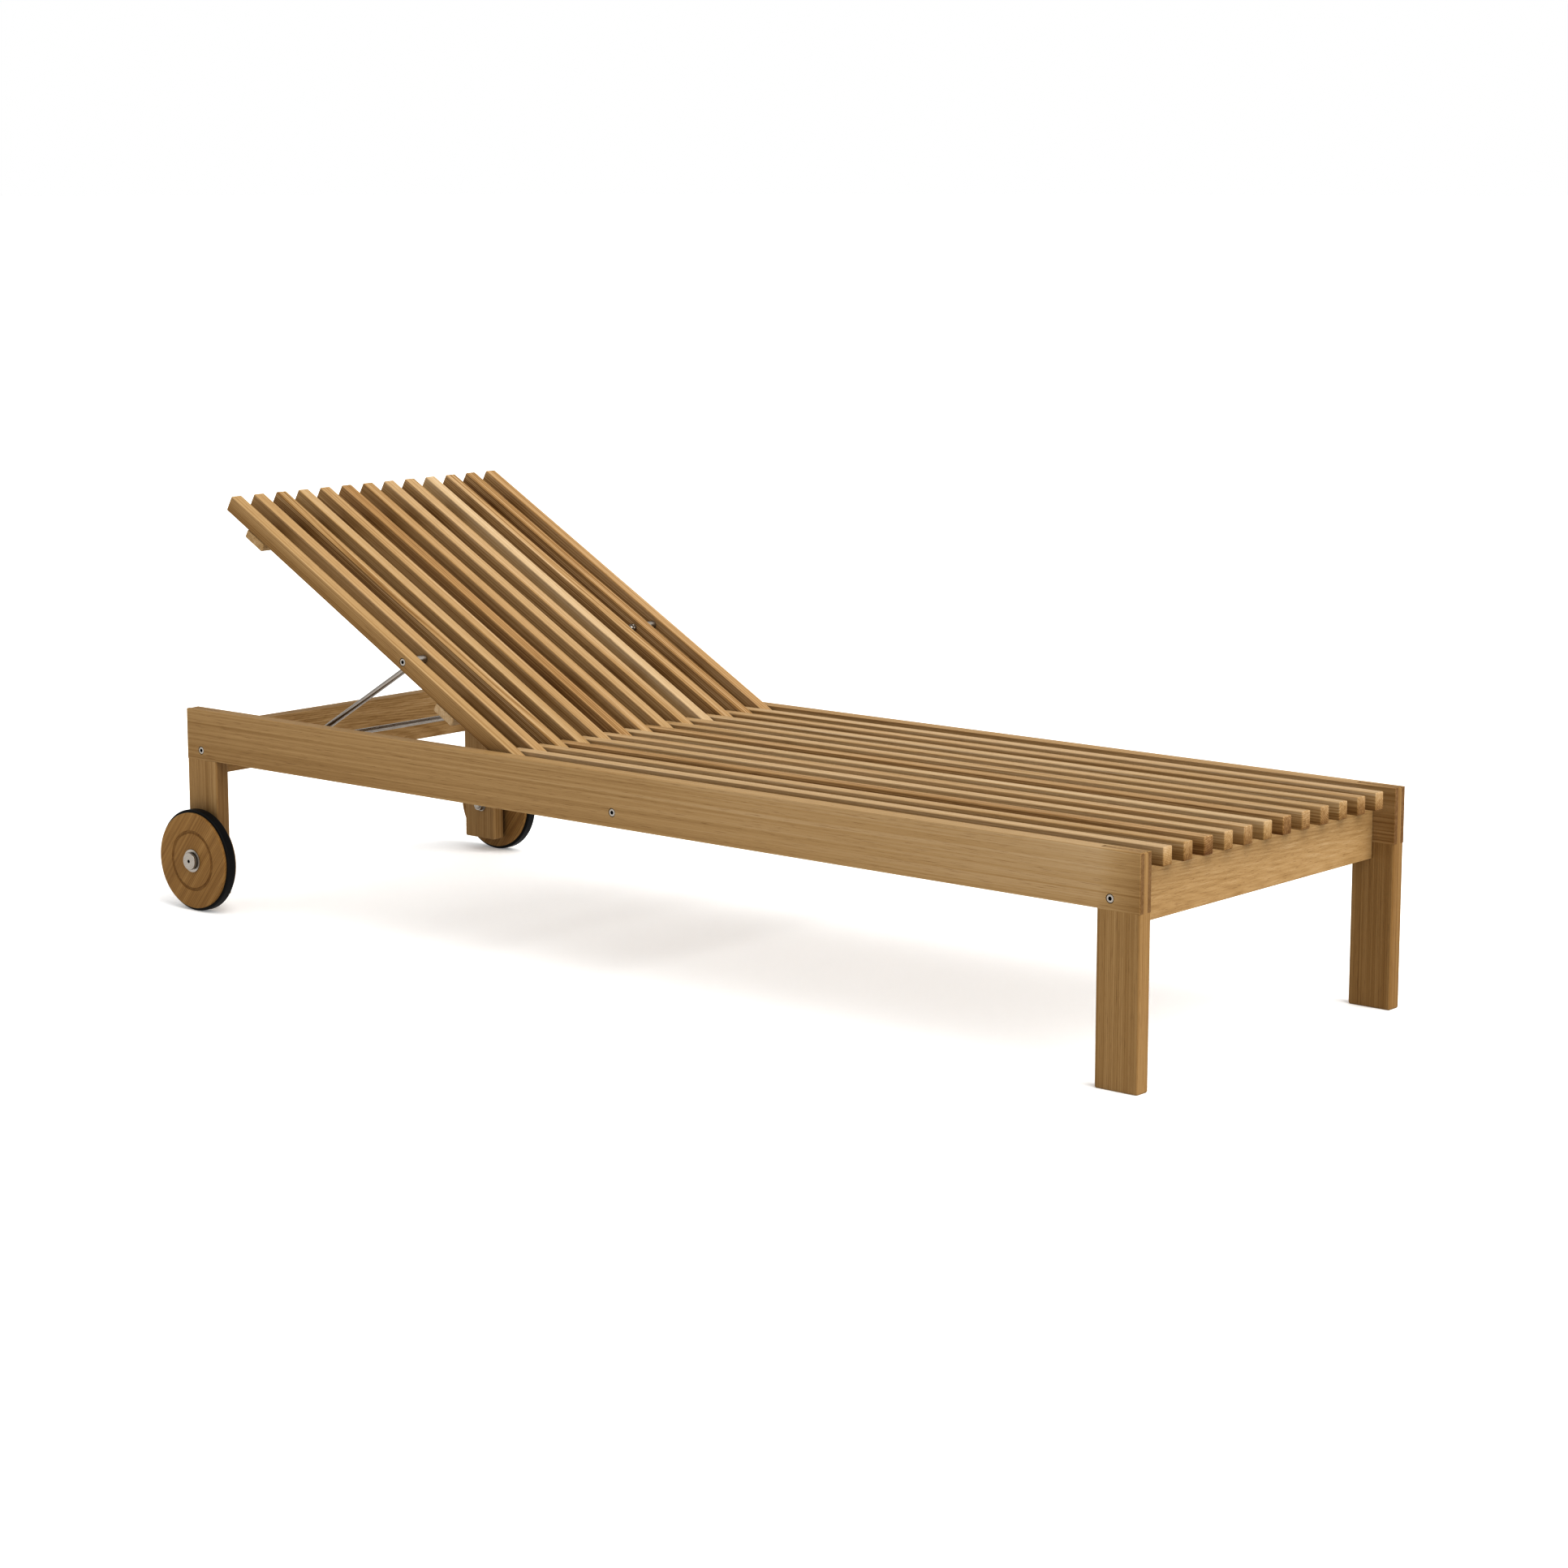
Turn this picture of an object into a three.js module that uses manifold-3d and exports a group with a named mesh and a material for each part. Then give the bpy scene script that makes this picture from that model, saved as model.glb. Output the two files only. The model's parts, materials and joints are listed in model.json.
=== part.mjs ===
// Reclining sun lounger: slatted teak frame and back, stainless support bail, two wheels.
// Millimetres, +Z up, +X towards the foot end. The origin is on the floor under the middle of the
// whole object. A sitter who faces +X has the right side rail at -Y.
import * as THREE from 'three';
import { mergeVertices } from 'three/addons/utils/BufferGeometryUtils.js';
import Module from 'manifold-3d';

const wasm = await Module();
wasm.setup();

// ---- driving dimensions -------------------------------------------------------------------------
const RAIL_LENGTH = 2000;
const FRAME_WIDTH = 696;
const DECK_HEIGHT = 346;
const RAIL_HEIGHT = 87;
const BOARD = 27; // thickness of rails, legs and cross rails
const LEG_WIDTH = 74;
const TONGUE = 9.6; // thickness of the leg's tongue in the slotted rail end
const GAP = 0.3; // clearance where a piece is let into another
const ROD_PLAY = 0.4; // radial clearance of a bore round its rod or axle
const EDGE = 0.6; // small chamfer on steel heads
const HEX_TO_CORNER = 1 / Math.cos(Math.PI / 6); // half the flats to half the corners
const HEAD_LEG_CLEARANCE = 25; // the head legs stop short of the floor, the wheels carry them

const SLAT_WIDTH = 22;
const SLAT_DEPTH = 28;
const SLAT_PITCH = 50.8;
const SEAT_SLATS = 12;
const BACK_SLATS = 13;
const SEAT_OVERHANG_SETBACK = 2; // the seat slats stop this far inside the rail ends
const SLAT_TAIL = 26; // length of every slat past the hinge rod

const HINGE_X = -252;
const BACK_ANGLE = THREE.MathUtils.degToRad(29.3);
const BACK_REACH = 758; // hinge axis to the top end of the back slats
const BATTEN_WIDTH = 46;
const BATTEN_DEPTH = 15;
const BATTEN_CENTRES = [161, 675];

const END_RAIL_HEIGHT = 85;
const MIDDLE_RAIL_HEIGHT = 58;
const MIDDLE_BOLT_DROP = 35; // middle rail bolts below the undersides of the slats
const FOOT_RAIL_X = 948.5;
const HEAD_RAIL_X = -964.5;
const HEAD_RAIL_DROP = 0.4; // the lowered back stops just clear of the head cross rail

const BAIL_PIVOT = 280; // hinge axis to the bail's pivot, along the back
const BAIL_REACH = 315; // bail pivot to crossbar axis
const BAIL_ROD = 5; // radius
const BAIL_BAR_DROP = 26; // crossbar axis below the hinge axis
const SLEEVE_RADIUS = 7;
const SLEEVE_LENGTH = 28;
const CROSSBAR_LENGTH = 626;

const RACK_DEPTH = 20;
const RACK_HEIGHT = 29;
const RACK_CLEARANCE = 1; // crossbar underside to tooth tips at the resting position
const SEAT_NOTCH_RADIUS = 5.6;
const SEAT_NOTCH_DEPTH = 5;
const NOTCH_PITCH = 54;
const NOTCHES_TO_HEAD = 1; // notches on the head side of the one in use
const NOTCHES_TO_FOOT = 3;
const RACK_HEAD_MARGIN = 50; // rack past its last notch: the crossbar lies there with the back flat
const RACK_FOOT_MARGIN = 20;

const WHEEL_X = -958;
const WHEEL_RADIUS = 88;
const TYRE_THICKNESS = 4.6;
const TYRE_WIDTH = 17;
const WHEEL_THICKNESS = BOARD;
const WHEEL_STANDOFF = 5.5; // leg face to wheel
const AXLE_RADIUS = 6;
const ROD_RADIUS = 5;
const ROD_SEAT = 14; // depth of the hinge rod's seat in each side rail
const GROOVE_RADIUS = 50; // ring groove turned in the wheel's face
const GROOVE_WIDTH = 5;
const GROOVE_DEPTH = 1.6;

const BOLT_HEAD_RADIUS = 6.8;
const BOLT_HEAD_DEPTH = 3;
const SOCKET_RADIUS = 2.9;
const SOCKET_DEPTH = 2.2;
const RAIL_BOLT_RADIUS = 4;
const RAIL_BOLT_GRIP = 36; // bolt length inside the cross rail
const BARREL_NUT_RADIUS = 6;
const BARREL_NUT_LENGTH = 20;
const BARREL_NUT_INSET = 28; // cross rail end to barrel nut axis
const BAIL_BOLT_RADIUS = 3.9;

// ---- derived places -----------------------------------------------------------------------------
const HALF_LENGTH = RAIL_LENGTH / 2;
const OUTER_Y = FRAME_WIDTH / 2;
const INNER_Y = OUTER_Y - BOARD;
const RAIL_BOTTOM = DECK_HEIGHT - RAIL_HEIGHT;
const SLAT_BOTTOM = DECK_HEIGHT - SLAT_DEPTH;
const HINGE_Z = DECK_HEIGHT - SLAT_DEPTH / 2;
const END_BOLT_Z = SLAT_BOTTOM - END_RAIL_HEIGHT / 2;
const MIDDLE_BOLT_Z = SLAT_BOTTOM - MIDDLE_BOLT_DROP;
const BACK_HALF_WIDTH = ((BACK_SLATS - 1) * SLAT_PITCH + SLAT_WIDTH) / 2;
const ARM_Y = BACK_HALF_WIDTH - SLAT_WIDTH - (SLAT_PITCH - SLAT_WIDTH) / 2;
const WHEEL_INNER_Y = OUTER_Y + WHEEL_STANDOFF;
const WHEEL_OUTER_Y = WHEEL_INNER_Y + WHEEL_THICKNESS;
const WHEEL_OVERHANG = WHEEL_RADIUS - WHEEL_X - HALF_LENGTH; // wheels past the rails' head end
const RAIL_SHIFT = WHEEL_OVERHANG / 2;
const SIDES = { right: -1, left: 1 };
const FINE_SIDES = 12; // facets round a rod or a bore
const HEAD_SIDES = 16; // facets round a bolt head or its recess
const WHEEL_SIDES = 40;

// ---- materials ----------------------------------------------------------------------------------
const finish = (color, roughness, metalness) => () =>
  new THREE.MeshStandardMaterial({ color, roughness, metalness });
const teak = finish(0xb08650, 0.62, 0);
const rubber = finish(0x17171a, 0.8, 0);
const steel = finish(0xb9b6b2, 0.35, 1);

// ---- solids -------------------------------------------------------------------------------------
function solid(geometry) {
  const bare = new THREE.BufferGeometry();
  bare.setAttribute('position', geometry.getAttribute('position').clone());
  if (geometry.index) bare.setIndex(geometry.index.clone());
  const merged = mergeVertices(bare, 1e-4);
  const triangles = new Uint32Array(merged.index.array);
  const make = () =>
    new wasm.Manifold(
      new wasm.Mesh({
        numProp: 3,
        vertProperties: new Float32Array(merged.attributes.position.array),
        triVerts: triangles,
      }),
    );
  const shape = make();
  if (shape.volume() > 0) return shape;
  for (let i = 0; i < triangles.length; i += 3) {
    [triangles[i], triangles[i + 1]] = [triangles[i + 1], triangles[i]];
  }
  return make();
}

function node(name, shape, material) {
  const { numProp, vertProperties, triVerts } = shape.getMesh();
  const geometry = new THREE.BufferGeometry();
  if (numProp !== 3) throw new Error(`${name} carries more than positions`);
  geometry.setAttribute('position', new THREE.BufferAttribute(vertProperties, 3));
  geometry.setIndex(new THREE.BufferAttribute(triVerts, 1));
  geometry.computeVertexNormals();
  const mesh = new THREE.Mesh(geometry, material());
  mesh.name = name;
  return mesh;
}

// A box from its low and high corners.
function block([x0, y0, z0], [x1, y1, z1]) {
  const geometry = new THREE.BoxGeometry(x1 - x0, y1 - y0, z1 - z0);
  return solid(geometry.translate((x0 + x1) / 2, (y0 + y1) / 2, (z0 + z1) / 2));
}

// A cylinder on an axis parallel to Y, at (x, z), between two y values given in either order.
function pin(radius, [x, z], ya, yb, sides = FINE_SIDES) {
  const geometry = new THREE.CylinderGeometry(radius, radius, Math.abs(yb - ya), sides);
  return solid(geometry.translate(x, (ya + yb) / 2, z));
}

// A cylinder on a vertical axis at (x, y).
function post(radius, [x, y], z0, z1, sides = FINE_SIDES) {
  const geometry = new THREE.CylinderGeometry(radius, radius, z1 - z0, sides);
  return solid(geometry.rotateX(Math.PI / 2).translate(x, y, (z0 + z1) / 2));
}

// A solid of revolution about an axis parallel to Y, from [radius, distance outward from y = 0]
// pairs. A side of -1 turns it to point towards -Y.
function turned(profile, [x, z], side, sides) {
  const points = profile.map(([radius, out]) => new THREE.Vector2(radius, out));
  const geometry = new THREE.LatheGeometry(points, sides);
  if (side < 0) geometry.rotateX(Math.PI);
  return solid(geometry.translate(x, 0, z));
}

function ring(inner, outer, ya, yb) {
  return [[inner, ya], [outer, ya], [outer, yb], [inner, yb], [inner, ya]];
}

// ---- timber frame -------------------------------------------------------------------------------
const CROSS_RAILS = [
  { name: 'foot', x: FOOT_RAIL_X, height: END_RAIL_HEIGHT, drop: 0, boltZ: END_BOLT_Z },
  { name: 'middle', x: 0, height: MIDDLE_RAIL_HEIGHT, drop: 0, boltZ: MIDDLE_BOLT_Z },
  { name: 'head', x: HEAD_RAIL_X, height: END_RAIL_HEIGHT, drop: HEAD_RAIL_DROP, boltZ: END_BOLT_Z },
];

function boltBore({ x, boltZ }, side) {
  return pin(RAIL_BOLT_RADIUS + GAP, [x, boltZ], side * (INNER_Y - 1), side * (OUTER_Y + 1));
}

function headRecess(radius, depth, [x, z], face, side) {
  return pin(radius + GAP, [x, z], side * (face - depth - GAP), side * (face + 1), HEAD_SIDES);
}

function sideRail(word) {
  const side = SIDES[word];
  const [low, high] = [side * INNER_Y, side * OUTER_Y].sort((a, b) => a - b);
  let rail = block([-HALF_LENGTH, low, RAIL_BOTTOM], [HALF_LENGTH, high, DECK_HEIGHT]);
  const middle = (low + high) / 2;
  const reach = TONGUE / 2 + GAP / 2;
  for (const end of [-1, 1]) {
    const inner = end * (HALF_LENGTH - LEG_WIDTH - GAP);
    const [x0, x1] = [inner, end * (HALF_LENGTH + 1)].sort((a, b) => a - b);
    const slot = block([x0, middle - reach, RAIL_BOTTOM - 1], [x1, middle + reach, DECK_HEIGHT + 1]);
    rail = rail.subtract(slot);
  }
  for (const cross of CROSS_RAILS) {
    rail = rail.subtract(boltBore(cross, side));
    rail = rail.subtract(
      headRecess(BOLT_HEAD_RADIUS, BOLT_HEAD_DEPTH, [cross.x, cross.boltZ], OUTER_Y, side),
    );
  }
  const socket = pin(
    ROD_RADIUS + ROD_PLAY,
    [HINGE_X, HINGE_Z],
    side * (INNER_Y - 1),
    side * (INNER_Y + ROD_SEAT + 1),
  );
  return node(`side_rail_${word}`, rail.subtract(socket), teak);
}

function leg(end, word) {
  const side = SIDES[word];
  const atFoot = end === 'foot';
  const x0 = atFoot ? HALF_LENGTH - LEG_WIDTH : -HALF_LENGTH;
  const x1 = x0 + LEG_WIDTH;
  const floor = atFoot ? 0 : HEAD_LEG_CLEARANCE;
  const [low, high] = [side * INNER_Y, side * OUTER_Y].sort((a, b) => a - b);
  const middle = (low + high) / 2;
  const stile = block([x0, low, floor], [x1, high, RAIL_BOTTOM]);
  const tongue = block(
    [x0, middle - TONGUE / 2, RAIL_BOTTOM - 1],
    [x1, middle + TONGUE / 2, DECK_HEIGHT],
  );
  let shape = stile.add(tongue);
  shape = shape.subtract(boltBore(CROSS_RAILS.find((cross) => cross.name === end), side));
  if (!atFoot) {
    const bore = [WHEEL_X, WHEEL_RADIUS];
    const radius = AXLE_RADIUS + ROD_PLAY;
    shape = shape.subtract(pin(radius, bore, side * (INNER_Y - 1), side * (OUTER_Y + 1)));
  }
  return node(`leg_${end}_${word}`, shape, teak);
}

function crossRail({ name, x, height, drop, boltZ }) {
  const bottom = SLAT_BOTTOM - height;
  let rail = block([x - BOARD / 2, -INNER_Y, bottom], [x + BOARD / 2, INNER_Y, SLAT_BOTTOM - drop]);
  for (const side of [-1, 1]) {
    const bore = pin(
      RAIL_BOLT_RADIUS + GAP,
      [x, boltZ],
      side * (INNER_Y - RAIL_BOLT_GRIP - 2),
      side * (INNER_Y + 1),
    );
    const nutY = side * (INNER_Y - BARREL_NUT_INSET);
    const nutTop = boltZ + BARREL_NUT_LENGTH / 2 + GAP;
    rail = rail.subtract(bore);
    rail = rail.subtract(post(BARREL_NUT_RADIUS + GAP, [x, nutY], bottom - 1, nutTop));
  }
  return node(`cross_rail_${name}`, rail, teak);
}

// A furniture bolt with a socket head let into the rail and its barrel nut inside the cross rail.
function railBolt({ name, x, boltZ }, word) {
  const side = SIDES[word];
  const face = OUTER_Y - GAP;
  const tip = INNER_Y - RAIL_BOLT_GRIP;
  const shoulder = face - BOLT_HEAD_DEPTH;
  const profile = [
    [0, tip],
    [RAIL_BOLT_RADIUS, tip],
    [RAIL_BOLT_RADIUS, shoulder],
    [BOLT_HEAD_RADIUS, shoulder],
    [BOLT_HEAD_RADIUS, face - EDGE],
    [BOLT_HEAD_RADIUS - EDGE, face],
    [0, face],
  ];
  const nut = post(
    BARREL_NUT_RADIUS,
    [x, side * (INNER_Y - BARREL_NUT_INSET)],
    boltZ - BARREL_NUT_LENGTH / 2,
    boltZ + BARREL_NUT_LENGTH / 2,
  );
  const socket = pin(SOCKET_RADIUS, [x, boltZ], side * (face - SOCKET_DEPTH), side * (face + 1), 6);
  const bolt = turned(profile, [x, boltZ], side, HEAD_SIDES).add(nut).subtract(socket);
  return node(`rail_bolt_${name}_${word}`, bolt, steel);
}

// ---- seat ---------------------------------------------------------------------------------------
const slatY = (index, count) => (index - (count - 1) / 2) * SLAT_PITCH;
const label = (index) => String(index + 1).padStart(2, '0');

function seatSlat(index) {
  const y = slatY(index, SEAT_SLATS);
  const half = SLAT_WIDTH / 2;
  const slat = block(
    [HINGE_X - SLAT_TAIL, y - half, SLAT_BOTTOM],
    [HALF_LENGTH - SEAT_OVERHANG_SETBACK, y + half, DECK_HEIGHT],
  );
  const bore = pin(ROD_RADIUS + ROD_PLAY, [HINGE_X, HINGE_Z], y - half - 1, y + half + 1);
  return node(`seat_slat_${label(index)}`, slat.subtract(bore), teak);
}

function hingeRod() {
  const half = INNER_Y + ROD_SEAT;
  return node('hinge_rod', pin(ROD_RADIUS, [HINGE_X, HINGE_Z], -half, half), steel);
}

// ---- back, in its own frame: hinge axis at the origin, slats running towards -X ------------------
function backSlat(index) {
  const y = slatY(index, BACK_SLATS);
  const half = SLAT_WIDTH / 2;
  let slat = block(
    [-BACK_REACH, y - half, -SLAT_DEPTH / 2],
    [SLAT_TAIL, y + half, SLAT_DEPTH / 2],
  );
  slat = slat.subtract(pin(ROD_RADIUS + ROD_PLAY, [0, 0], y - half - 1, y + half + 1));
  const fromEdge = Math.min(index, BACK_SLATS - 1 - index);
  if (fromEdge < 2) {
    const bore = BAIL_BOLT_RADIUS + ROD_PLAY;
    slat = slat.subtract(pin(bore, [-BAIL_PIVOT, 0], y - half - 1, y + half + 1));
  }
  if (fromEdge === 0) {
    const recess = headRecess(
      BOLT_HEAD_RADIUS, BOLT_HEAD_DEPTH, [-BAIL_PIVOT, 0], BACK_HALF_WIDTH, Math.sign(y),
    );
    slat = slat.subtract(recess);
  }
  return node(`back_slat_${label(index)}`, slat, teak);
}

function batten(name, centre) {
  const top = -SLAT_DEPTH / 2 - GAP;
  const shape = block(
    [-centre - BATTEN_WIDTH / 2, -BACK_HALF_WIDTH, top - BATTEN_DEPTH],
    [-centre + BATTEN_WIDTH / 2, BACK_HALF_WIDTH, top],
  );
  return node(`back_batten_${name}`, shape, teak);
}

const BAIL_NUT_Y = BACK_HALF_WIDTH - SLAT_PITCH - SLAT_WIDTH - GAP;
const BAIL_NUT_THICKNESS = 6.5;
const BAIL_NUT_FLATS = 13;
const BOLT_END = 3; // bolt showing past its nut

function bailBolt(word) {
  const side = SIDES[word];
  const face = BACK_HALF_WIDTH - GAP;
  const tip = BAIL_NUT_Y - BAIL_NUT_THICKNESS - BOLT_END;
  const shoulder = face - BOLT_HEAD_DEPTH;
  const profile = [
    [0, tip],
    [BAIL_BOLT_RADIUS, tip],
    [BAIL_BOLT_RADIUS, shoulder],
    [BOLT_HEAD_RADIUS, shoulder],
    [BOLT_HEAD_RADIUS, face - EDGE],
    [BOLT_HEAD_RADIUS - EDGE, face],
    [0, face],
  ];
  const place = [-BAIL_PIVOT, 0];
  const socket = pin(SOCKET_RADIUS, place, side * (face - SOCKET_DEPTH), side * (face + 1), 6);
  return node(`bail_bolt_${word}`, turned(profile, place, side, HEAD_SIDES).subtract(socket), steel);
}

function hexNut(name, place, ya, yb, flats, boreRadius) {
  const hexagon = pin((flats / 2) * HEX_TO_CORNER, place, ya, yb, 6);
  const bore = pin(boreRadius, place, ya - Math.sign(yb - ya), yb + Math.sign(yb - ya), HEAD_SIDES);
  return node(name, hexagon.subtract(bore), steel);
}

function bailNut(word) {
  const side = SIDES[word];
  const place = [-BAIL_PIVOT, 0];
  const inner = side * (BAIL_NUT_Y - BAIL_NUT_THICKNESS);
  const outer = side * BAIL_NUT_Y;
  return hexNut(`bail_nut_${word}`, place, inner, outer, BAIL_NUT_FLATS, BAIL_BOLT_RADIUS + GAP);
}

// ---- support bail, in its own frame: pivot axis at the origin, arms running towards -X -----------
const ARM_LET_IN = 1.8; // how far the arm's end reaches into the sleeve's wall

function arm(side) {
  const start = ARM_LET_IN - SLEEVE_RADIUS;
  const geometry = new THREE.CylinderGeometry(BAIL_ROD, BAIL_ROD, BAIL_REACH + start, FINE_SIDES);
  geometry.rotateZ(Math.PI / 2).translate((start - BAIL_REACH) / 2, side * ARM_Y, 0);
  return solid(geometry);
}

function supportBail() {
  let shape = pin(BAIL_ROD, [-BAIL_REACH, 0], -CROSSBAR_LENGTH / 2, CROSSBAR_LENGTH / 2);
  for (const side of [-1, 1]) {
    const inner = side * (ARM_Y - SLEEVE_LENGTH / 2);
    const outer = side * (ARM_Y + SLEEVE_LENGTH / 2);
    const wall = ring(BAIL_BOLT_RADIUS + 2 * GAP, SLEEVE_RADIUS, inner, outer);
    const sleeve = turned(wall, [0, 0], 1, HEAD_SIDES);
    shape = shape.add(arm(side)).add(sleeve);
  }
  return node('support_bail', shape, steel);
}

// ---- notched racks on the inner faces of the side rails ------------------------------------------
const pivotDrop = BAIL_BAR_DROP + BAIL_PIVOT * Math.sin(BACK_ANGLE);
const BAIL_ANGLE = BACK_ANGLE + Math.asin(pivotDrop / BAIL_REACH); // between back and bail arms
const BAR_X = HINGE_X - BAIL_PIVOT * Math.cos(BACK_ANGLE) - Math.sqrt(BAIL_REACH ** 2 - pivotDrop ** 2);
const BAR_Z = HINGE_Z - BAIL_BAR_DROP;

function rack(word) {
  const top = BAR_Z - BAIL_ROD - RACK_CLEARANCE;
  const headEnd = BAR_X - NOTCHES_TO_HEAD * NOTCH_PITCH - RACK_HEAD_MARGIN;
  const footEnd = BAR_X + NOTCHES_TO_FOOT * NOTCH_PITCH + RACK_FOOT_MARGIN;
  const rise = SEAT_NOTCH_RADIUS - SEAT_NOTCH_DEPTH;
  const cut = Math.asin(rise / SEAT_NOTCH_RADIUS);
  const outline = new THREE.Shape();
  outline.moveTo(footEnd, top);
  outline.lineTo(footEnd, top - RACK_HEIGHT);
  outline.lineTo(headEnd, top - RACK_HEIGHT);
  outline.lineTo(headEnd, top);
  for (let step = -NOTCHES_TO_HEAD; step <= NOTCHES_TO_FOOT; step += 1) {
    const x = BAR_X + step * NOTCH_PITCH;
    outline.absarc(x, top + rise, SEAT_NOTCH_RADIUS, Math.PI + cut, 2 * Math.PI - cut, false);
  }
  const geometry = new THREE.ExtrudeGeometry(outline, {
    depth: RACK_DEPTH,
    bevelEnabled: false,
    curveSegments: 8,
  });
  geometry.rotateX(Math.PI / 2).translate(0, word === 'right' ? RACK_DEPTH - INNER_Y : INNER_Y, 0);
  return node(`rack_${word}`, solid(geometry), teak);
}

// ---- wheels -------------------------------------------------------------------------------------
const WHEEL_AT = [WHEEL_X, WHEEL_RADIUS];
const RIM_RADIUS = WHEEL_RADIUS - TYRE_THICKNESS;
const RIM_GAP = 0.2; // disc to tyre
const CORNER = 2; // rounding of the wheel's and the tyre's corners
const CORNER_CUT = 0.3; // how far in a two-facet corner's middle point lies, as a share of the rounding

function wheelDisc(word) {
  const rim = RIM_RADIUS - RIM_GAP;
  const bore = AXLE_RADIUS + 2 * GAP;
  const grooveFloor = WHEEL_OUTER_Y - GROOVE_DEPTH;
  const profile = [
    [bore, WHEEL_INNER_Y],
    [rim - CORNER, WHEEL_INNER_Y],
    [rim, WHEEL_INNER_Y + CORNER],
    [rim, WHEEL_OUTER_Y - CORNER],
    [rim - CORNER * CORNER_CUT, WHEEL_OUTER_Y - CORNER * CORNER_CUT],
    [rim - CORNER, WHEEL_OUTER_Y],
    [GROOVE_RADIUS + GROOVE_WIDTH / 2, WHEEL_OUTER_Y],
    [GROOVE_RADIUS + GROOVE_WIDTH / 2 - 1, grooveFloor],
    [GROOVE_RADIUS - GROOVE_WIDTH / 2 + 1, grooveFloor],
    [GROOVE_RADIUS - GROOVE_WIDTH / 2, WHEEL_OUTER_Y],
    [bore, WHEEL_OUTER_Y],
    [bore, WHEEL_INNER_Y],
  ];
  return node(`wheel_disc_${word}`, turned(profile, WHEEL_AT, SIDES[word], WHEEL_SIDES), teak);
}

function wheelTyre(word) {
  const y0 = WHEEL_INNER_Y + (WHEEL_THICKNESS - TYRE_WIDTH) / 2;
  const y1 = y0 + TYRE_WIDTH;
  const profile = [
    [RIM_RADIUS, y0],
    [WHEEL_RADIUS - CORNER, y0],
    [WHEEL_RADIUS - CORNER * CORNER_CUT, y0 + CORNER * CORNER_CUT],
    [WHEEL_RADIUS, y0 + CORNER],
    [WHEEL_RADIUS, y1 - CORNER],
    [WHEEL_RADIUS - CORNER * CORNER_CUT, y1 - CORNER * CORNER_CUT],
    [WHEEL_RADIUS - CORNER, y1],
    [RIM_RADIUS, y1],
    [RIM_RADIUS, y0],
  ];
  return node(`wheel_tyre_${word}`, turned(profile, WHEEL_AT, SIDES[word], WHEEL_SIDES), rubber);
}

const CAP_RADIUS = 15.5;
const CAP_DEPTH = 6;
const WASHER_RADIUS = 20;
const WASHER_THICKNESS = 1.4;
const CAP_EDGE = 1.6;
const CAP_HOLE_RADIUS = 2.2;
const CAP_HOLE_DEPTH = 3;
const AXLE_END = 13; // axle bolt past the leg's inner face
const AXLE_NUT_THICKNESS = 9;
const AXLE_NUT_FLATS = 18;
const COLLAR_RADIUS = 12;
const CAP_BASE_Y = WHEEL_OUTER_Y + 2 * GAP + WASHER_THICKNESS;

// The axle bolt: a domed cap head with a small socket, the wheel's bearing length, a collar that
// keeps the wheel off the leg, and the threaded end that takes the nut.
function axleBolt(word) {
  const top = CAP_BASE_Y + CAP_DEPTH;
  const tip = INNER_Y - AXLE_END;
  const profile = [
    [0, tip],
    [AXLE_RADIUS, tip],
    [AXLE_RADIUS, OUTER_Y + GAP],
    [COLLAR_RADIUS, OUTER_Y + GAP],
    [COLLAR_RADIUS, WHEEL_INNER_Y - GAP],
    [AXLE_RADIUS, WHEEL_INNER_Y - GAP],
    [AXLE_RADIUS, CAP_BASE_Y],
    [CAP_RADIUS, CAP_BASE_Y],
    [CAP_RADIUS, top - CAP_EDGE],
    [CAP_RADIUS - CAP_EDGE, top],
    [CAP_HOLE_RADIUS, top],
    [CAP_HOLE_RADIUS, top - CAP_HOLE_DEPTH],
    [0, top - CAP_HOLE_DEPTH],
  ];
  return node(`axle_bolt_${word}`, turned(profile, WHEEL_AT, SIDES[word], HEAD_SIDES), steel);
}

function axleWasher(word) {
  const inner = WHEEL_OUTER_Y + GAP;
  const profile = ring(AXLE_RADIUS + ROD_PLAY, WASHER_RADIUS, inner, inner + WASHER_THICKNESS);
  return node(`axle_washer_${word}`, turned(profile, WHEEL_AT, SIDES[word], HEAD_SIDES), steel);
}

function axleNut(word) {
  const side = SIDES[word];
  const outer = side * (INNER_Y - GAP);
  const inner = outer - side * AXLE_NUT_THICKNESS;
  return hexNut(`axle_nut_${word}`, WHEEL_AT, inner, outer, AXLE_NUT_FLATS, AXLE_RADIUS + GAP);
}

// ---- assembly -----------------------------------------------------------------------------------
const frame = new THREE.Group();
const backrest = new THREE.Group();
const bail = new THREE.Group();

for (const cross of CROSS_RAILS) frame.add(crossRail(cross));
for (let index = 0; index < SEAT_SLATS; index += 1) frame.add(seatSlat(index));
frame.add(hingeRod());
for (const word of Object.keys(SIDES)) {
  frame.add(sideRail(word), leg('foot', word), leg('head', word), rack(word));
  for (const cross of CROSS_RAILS) frame.add(railBolt(cross, word));
  frame.add(wheelDisc(word), wheelTyre(word), axleBolt(word), axleWasher(word), axleNut(word));
  backrest.add(bailBolt(word), bailNut(word));
}

for (let index = 0; index < BACK_SLATS; index += 1) backrest.add(backSlat(index));
backrest.add(batten('lower', BATTEN_CENTRES[0]), batten('upper', BATTEN_CENTRES[1]));

bail.add(supportBail());
bail.position.set(-BAIL_PIVOT, 0, 0);
bail.rotation.y = -BAIL_ANGLE;
backrest.add(bail);
backrest.position.set(HINGE_X, 0, HINGE_Z);
backrest.rotation.y = BACK_ANGLE;
frame.add(backrest);
frame.position.x = RAIL_SHIFT;

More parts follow.
